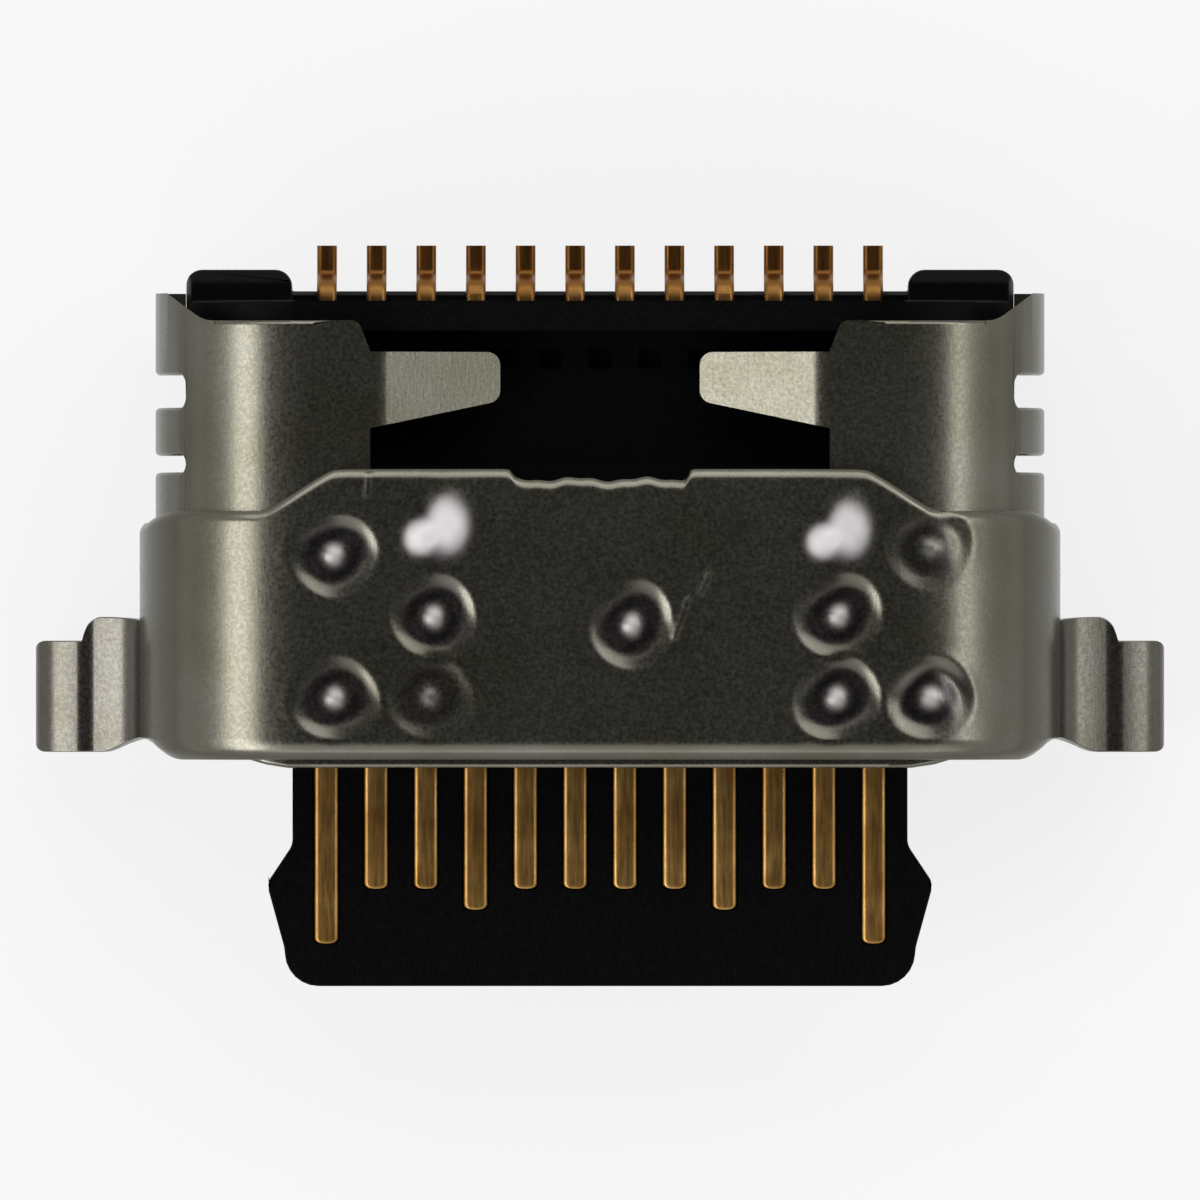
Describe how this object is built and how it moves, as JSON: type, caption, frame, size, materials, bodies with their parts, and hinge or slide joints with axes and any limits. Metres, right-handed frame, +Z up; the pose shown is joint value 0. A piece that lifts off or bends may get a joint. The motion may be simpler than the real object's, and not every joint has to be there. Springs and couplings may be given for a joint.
{
  "type": "usb-c socket",
  "caption": "Sunk-mount USB-C socket with an open tongue, a rolled steel shell, a welded outer bracket with through-board ears, and rows of solder tails.",
  "frame": {"origin": "under the middle of the part's bounding box, at the level of the shell's underside", "axes": "+X across the plug, to the right when seen from above with the tongue towards the viewer; +Y from the mating end to the rear solder tails; +Z up, square to the board"},
  "size_m": [0.0114, 0.0074, 0.0033],
  "materials": {
    "shell_steel": "satin nickel-plated sheet",
    "bracket_steel": "satin nickel-plated sheet with laser welds",
    "black_plastic": "black glass-filled moulding",
    "plate_steel": "plain stamped steel",
    "contact_gold": "gold-plated copper alloy"
  },
  "bodies": {
    "root": {"shell": "shell_steel", "bracket": "bracket_steel", "housing": "black_plastic", "mid_plate": "plate_steel", "ground_plate_top": "plate_steel", "ground_plate_bottom": "plate_steel", "terminal_a01": "contact_gold", "terminal_a02": "contact_gold", "terminal_a03": "contact_gold", "terminal_a04": "contact_gold", "terminal_a05": "contact_gold", "terminal_a06": "contact_gold", "terminal_a07": "contact_gold", "terminal_a08": "contact_gold", "terminal_a09": "contact_gold", "terminal_a10": "contact_gold", "terminal_a11": "contact_gold", "terminal_a12": "contact_gold", "terminal_b01": "contact_gold", "terminal_b02": "contact_gold", "terminal_b03": "contact_gold", "terminal_b04": "contact_gold", "terminal_b05": "contact_gold", "terminal_b06": "contact_gold", "terminal_b07": "contact_gold", "terminal_b08": "contact_gold", "terminal_b09": "contact_gold", "terminal_b10": "contact_gold", "terminal_b11": "contact_gold", "terminal_b12": "contact_gold"}
  },
  "joints": []
}
